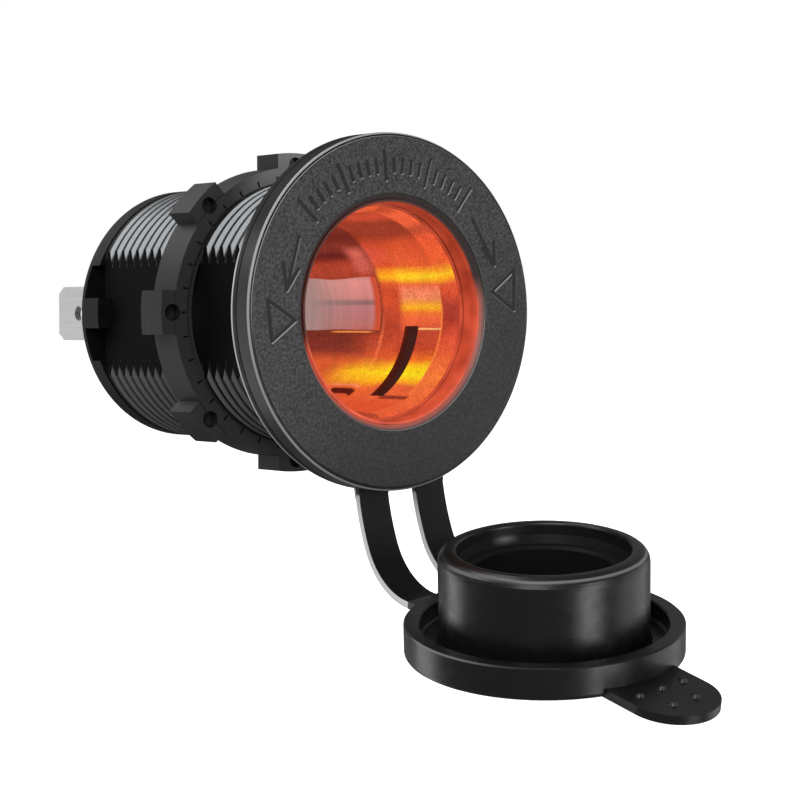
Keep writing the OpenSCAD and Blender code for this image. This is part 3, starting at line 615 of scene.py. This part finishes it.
def plain_moulded(name, low, high, rough, size_mm, glow=0.0):
    """Small inner pieces, such as laminate, solder mask or a dipped coat: two close tones in fine flecks."""
    mat, tree, shader, where = start(name)
    tone = ramp(tree, noise(tree, where, size_mm, 3.0), [(0.35, low), (0.65, high)])
    tree.links.new(tone, shader.inputs["Base Color"])
    shader.inputs["Roughness"].default_value = rough
    if glow:
        tree.links.new(tone, shader.inputs["Emission Color"])
        shader.inputs["Emission Strength"].default_value = glow
    return mat


def dress(name, mat):
    """Gives a CAD node its material in every slot."""
    obj = nodes[name]
    if not obj.material_slots:
        obj.data.materials.append(mat)
    for slot in obj.material_slots:
        slot.material = mat


FACE, NUT, STRAP = face_nylon(), nut_nylon(), strap_rubber()
SPRING = painted_light_spring()
BLADE = plated("Brass, stamped and tin-plated", ("b8b9ba", "cecfd0"), 0.5)
LAMINATE = plain_moulded("Phenolic laminate, punched", "2c1b10", "4a2f1c", 0.6, 0.5)
LAMP = plain_moulded("Clear resin, moulded, lit", "ff9a2e", "ffc45a", 0.3, 0.6, 2.0)

for node_name, material in {
    "housing": body_nylon(),
    "ring_nut": NUT,
    "rear_cover": grained_nylon("ABS, moulded, rear cover", "0e0e0f", "171718", 0.6, 0.4, 0.015, 0.15),
    "light_sleeve": painted_glow_amber(),
    "metal_barrel": painted_light_barrel(),
    "side_spring_right": SPRING,
    "side_spring_left": SPRING,
    "base_insulator": LAMINATE,
    "rear_insulator": LAMINATE,
    # the centre contact's amber emission is painted light from the lamps
    "centre_contact": plated("Brass, turned", ("b98f3e", "d6b061"), 0.25, "a04a1c", 0.15),
    "live_blade": BLADE,
    "earth_blade": BLADE,
    "earth_rivet": plated("Nickel-plated steel, stamped", ("a9a49c", "c4beb5"), 0.35),
    "led_board": plain_moulded("Glass-epoxy board, solder mask", "0d4a26", "166436", 0.35, 0.6),
    "led_right": LAMP,
    "led_left": LAMP,
    "resistor": plain_moulded("Lacquer, dipped, resistor", "b08b5e", "cdaa7c", 0.45, 0.4),
    "lead_live": plain_moulded("PVC insulation, extruded, red", "8e1712", "a8221b", 0.5, 0.5),
    "lead_earth": plain_moulded("PVC insulation, extruded, black", "131313", "1d1d1d", 0.5, 0.5),
    "strap_ring": STRAP,
    "strap_left": STRAP,
    "strap_right": STRAP,
    "dust_cap": cap_rubber(),
}.items():
    dress(node_name, material)


# ---------------------------------------------------------------- the flange's grained face with its marks

def marks():
    """Strokes of the sunk marks on the face, as rows of x0, z0, x1, z1: two arrows, two triangles, an arc of ticks."""
    def path(*pts):
        return [(*a, *b) for a, b in zip(pts[:-1], pts[1:])]

    strokes = path((-12.38, 7.51), (-13.89, 2.13)) + path((-14.37, 4.87), (-13.89, 2.13), (-12.43, 4.25))
    strokes += path((10.57, 9.92), (13.67, 5.06)) + path((11.93, 6.84), (13.67, 5.06), (13.55, 7.5))
    strokes += path((-16.27, 1.17), (-12.9, -0.9), (-15.77, -3.01), (-16.27, 1.17))
    strokes += path((16.47, 4.57), (13.33, 2.19), (16.48, 0.23), (16.47, 4.57))
    for k, deg in enumerate(np.linspace(52, 138, 21)):
        low, high = (13.7, 16.7) if k % 5 == 0 else (14.5, 15.9)
        c, s = math.cos(math.radians(deg)), math.sin(math.radians(deg))
        strokes.append((low * c, low * s, high * c, high * s))
    return strokes


def flange_face():
    """A thin skin on the flange's face, 0.1 mm proud, with the marks sunk into it.

    In front, point (r, a) stands at y = front + depth * exp(-(d / width)^4), where d is its distance to the nearest
    stroke. A closed loop goes on round the outer edge, the back and the mouth's edge.
    """
    front, depth, width = FACE_Y - 0.10, 0.095, 0.24
    steps, edge = 1080, 4       # points round the axis, and points of each rounded edge
    # the front, from the mouth's rounded edge to the outer one, and then two points of the back
    a = np.linspace(0, 2 * np.pi, steps, endpoint=False)[:, None]
    r_front = np.concatenate([MOUTH_R + np.array([0, 0.03, 0.1, 0.22]), np.linspace(12.65, 17.95, 60),
                              [18.1, 18.2, 18.26, 18.29]])
    y_front = np.full(len(r_front), front)
    y_front[:edge] = [FACE_Y, front + 0.05, front + 0.015, front]
    y_front[-edge:] = y_front[:edge][::-1]
    r = np.concatenate([r_front, [17.0, 13.0]])
    y = np.concatenate([y_front, [FACE_Y, FACE_Y]])
    x, z = r * np.cos(a), r * np.sin(a)
    near = np.full(x.shape, 9.0)
    for x0, z0, x1, z1 in marks():
        dx, dz = x1 - x0, z1 - z0
        t = np.clip(((x - x0) * dx + (z - z0) * dz) / (dx * dx + dz * dz), 0, 1)
        near = np.minimum(near, np.hypot(x - x0 - t * dx, z - z0 - t * dz))
    sunk = depth * np.exp(-(near / width) ** 4)
    sunk[:, :edge] = sunk[:, len(r_front) - edge:] = 0
    face = mesh_grid("flange_face", np.stack([x, y + sunk, z], axis=-1), True, True)
    point_outwards(face)
    face.data.materials.append(FACE)
    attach(face, "housing")


flange_face()


# ---------------------------------------------------------------- the nut's inner thread

def nut_thread():
    """The ring nut's inner thread: ridges of the body's pitch that stand in the body's grooves with 0.08 mm of room.

    The loop runs along y on the ridges' side and back inside the nut's wall; ridge k has its tip at y = 1 + 1.5 k. In
    front stands a half ridge, upright on its front side, which shows as a flat ring beside the body's flats and fits
    the body's narrow first groove when the nut is there. Behind the last ridge the bore is plain, so that the nut
    passes the cover's tabs.
    """
    low, high, base, wall, tip = 14.65, 17.7, 14.36, 14.5, 13.62
    pts = [[wall, low], [tip + 0.06, low], [base, 14.98]]
    for k in range(10, 20):
        c = THREAD_FRONT + PITCH * k
        for dy, r in ((-0.48, base), (-0.12, tip), (0.12, tip), (0.48, base)):
            if low + 0.05 < c + dy < high - 0.05:
                pts.append([r, c + dy])
    pts += [[base, high], [wall, high]]
    thread = turned("nut_thread", np.array(pts), 144, sharp=25)
    thread.data.materials.append(NUT)
    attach(thread, "nut")


nut_thread()


# ---------------------------------------------------------------- the two straps

def strap_line(t):
    """The straps' centre line in their plane: (y, z) and the outward normal at share t of its length.

    Two arcs that meet with one tangent: a gentle one from the ring's stub, up to the angle a1, then a tight one up to
    a2 at the cap's stub. Their radii solve R1 (1 - cos a1) + R2 (cos a1 - cos a2) = run in y and
    R1 sin a1 + R2 (sin a2 - sin a1) = run in z.
    """
    a1, a2 = GENTLE_BEND, FULL_BEND
    first = np.array([-STRAP_T / 2, STUB_Z])
    lean = np.array([[math.cos(CAP_TILT), -math.sin(CAP_TILT)], [math.sin(CAP_TILT), math.cos(CAP_TILT)]])
    run = first - (CAP_MIDDLE + lean @ CAP_STUB)
    r1, r2 = np.linalg.solve([[1 - math.cos(a1), math.cos(a1) - math.cos(a2)],
                              [math.sin(a1), math.sin(a2) - math.sin(a1)]], run)
    length1, length2 = r1 * a1, r2 * (a2 - a1)
    s = t * (length1 + length2)
    a = np.where(s < length1, s / r1, a1 + (s - length1) / r2)
    c1 = first - np.array([r1, 0])
    c2 = c1 + (r1 - r2) * np.array([math.cos(a1), -math.sin(a1)])
    centre, radius = np.where((s < length1)[:, None], c1, c2), np.where(s < length1, r1, r2)
    out = np.stack([np.cos(a), -np.sin(a)], axis=-1)
    return centre + radius[:, None] * out, out


def strap_section(n=8, edge=0.14):
    """A strap's section, a rectangle with rounded edges: pairs (across, outwards) from its middle."""
    w, h = STRAP_W / 2 - edge, STRAP_T / 2 - edge
    corner = np.linspace(0, np.pi / 2, n)
    parts = []
    for k, (cx, cy) in enumerate([(w, h), (-w, h), (-w, -h), (w, -h)]):
        a = corner + k * np.pi / 2
        parts.append(np.stack([cx + edge * np.cos(a), cy + edge * np.sin(a)], axis=-1))
    return np.concatenate(parts)


def strap_piece(name, middle_x, t0, t1):
    """One stretch of a strap: the section carried along strap_line, point = line + across * x + outwards * normal."""
    t = np.linspace(t0, t1, 40)
    line, out = strap_line(t)
    section = strap_section()
    x = middle_x + np.repeat(section[None, :, 0], len(t), axis=0)
    yz = line[:, None, :] + section[None, :, 1:2] * out[:, None, :]
    points = np.concatenate([x[..., None], yz], axis=-1)
    first, last = points[:1].mean(axis=1, keepdims=True), points[-1:].mean(axis=1, keepdims=True)
    points = np.concatenate([np.repeat(first, len(section), axis=1), points, np.repeat(last, len(section), axis=1)])
    strap = mesh_grid(name, strap_plane(points), False, True, sharp=40)
    point_outwards(strap)
    strap.data.materials.append(STRAP)
    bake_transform(strap)
    return strap


for side, name in ((-1, "strap_left"), (1, "strap_right")):
    middle = side * (STRAP_GAP + STRAP_W) / 2
    upper = strap_piece(name + "_upper", middle, 0.0, SPLIT)
    lower = strap_piece(name + "_lower", middle, SPLIT, 1.0)
    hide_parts(name)
    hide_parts(name)


# ---------------------------------------------------------------- floor, light and camera

def set_pose(obj, x_axis, y_axis, z_axis, place):
    """Places obj with the given axes at place in millimetres."""
    m = Matrix.Identity(4)
    for col, axis in enumerate((x_axis, y_axis, z_axis, np.array(place) * MM)):
        for row in range(3):
            m[row][col] = float(axis[row])
    obj.matrix_world = m


def floor(half=6000, drop=6):
    """Matt white studio paper below the part, bright enough to meet the white background; only the camera sees it."""
    mat, tree, shader, where = start("Studio paper, matt white")
    seen = camera_rays(tree)
    shader.inputs["Base Color"].default_value = linear("f4f4f4")
    shader.inputs["Roughness"].default_value = 0.9
    far = vector_maths(tree, "LENGTH", where)["Value"]
    power = product(tree, mapped(tree, far, 0.08, 0.3, 0.86, 1.0), seen)
    tree.links.new(power, shader.inputs["Emission Strength"])
    shader.inputs["Emission Color"].default_value = linear("ffffff")
    clear = node(tree, "ShaderNodeBsdfTransparent")
    either = node(tree, "ShaderNodeMixShader", i0=seen, i1=clear.outputs[0], i2=shader.outputs[0])
    tree.links.new(either.outputs[0], tree.nodes["Material Output"].inputs["Surface"])
    x, y = np.meshgrid(np.linspace(-half, half, 3), np.linspace(-half, half, 3), indexing="ij")
    ground = mesh_grid("floor", np.stack([x, y, 0 * x + cad_box[0][2] / MM - drop], axis=-1))
    ground.data.materials.append(mat)


def softbox(name, place, size, watts, aim=(0, 8, -8)):
    """A rectangular lamp at place, pointed at aim, both in millimetres."""
    data = bpy.data.lights.new(name, "AREA")
    data.shape, data.size, data.size_y, data.energy = "RECTANGLE", size[0] * MM, size[1] * MM, watts
    lamp = bpy.data.objects.new(name, data)
    bpy.context.scene.collection.objects.link(lamp)
    away = np.array(place, float) - np.array(aim, float)
    away /= np.linalg.norm(away)
    side = np.cross([0, 0, 1.0], away)
    side /= np.linalg.norm(side)
    set_pose(lamp, side, np.cross(away, side), away, place)


def white_world():
    """A white background for the camera, and a faint even light for the part."""
    world = bpy.data.worlds.new("studio")
    bpy.context.scene.world = world
    world.use_nodes = True
    tree = world.node_tree
    back = tree.nodes["Background"]
    tree.links.new(mapped(tree, camera_rays(tree), 0, 1, 0.2, 1.0), back.inputs["Strength"])
    back.inputs["Color"].default_value = (1, 1, 1, 1)


def set_camera():
    """The camera that was fitted to the photograph."""
    forward = np.array(CAMERA_AIM)
    forward /= np.linalg.norm(forward)
    right = np.cross(forward, [0, 0, 1.0])
    right /= np.linalg.norm(right)
    above = np.cross(right, forward)
    c, s = math.cos(math.radians(CAMERA_ROLL)), math.sin(math.radians(CAMERA_ROLL))
    right, above = right * c + above * s, above * c - right * s
    lens = bpy.data.cameras.new("camera")
    lens.sensor_width, lens.sensor_fit = SENSOR_MM, "HORIZONTAL"
    lens.lens = FOCAL_PIXELS / PICTURE_PIXELS * SENSOR_MM
    lens.clip_start, lens.clip_end = 0.005, 50
    camera = bpy.data.objects.new("camera", lens)
    bpy.context.scene.collection.objects.link(camera)
    set_pose(camera, right, above, -forward, CAMERA_PLACE)
    bpy.context.scene.camera = camera


floor()
softbox("overhead", (-160, 200, 300), (420, 420), 1.7)
softbox("left_strip", (-164, 375, -110), (170, 320), 0.34)
softbox("right_strip", (79, -445, -80), (170, 460), 0.95)
softbox("right_wall", (430, -150, -40), (420, 460), 0.45)
softbox("front_left", (-330, -260, 200), (240, 240), 0.9)
white_world()
set_camera()
bpy.context.scene.view_settings.view_transform = "Standard"
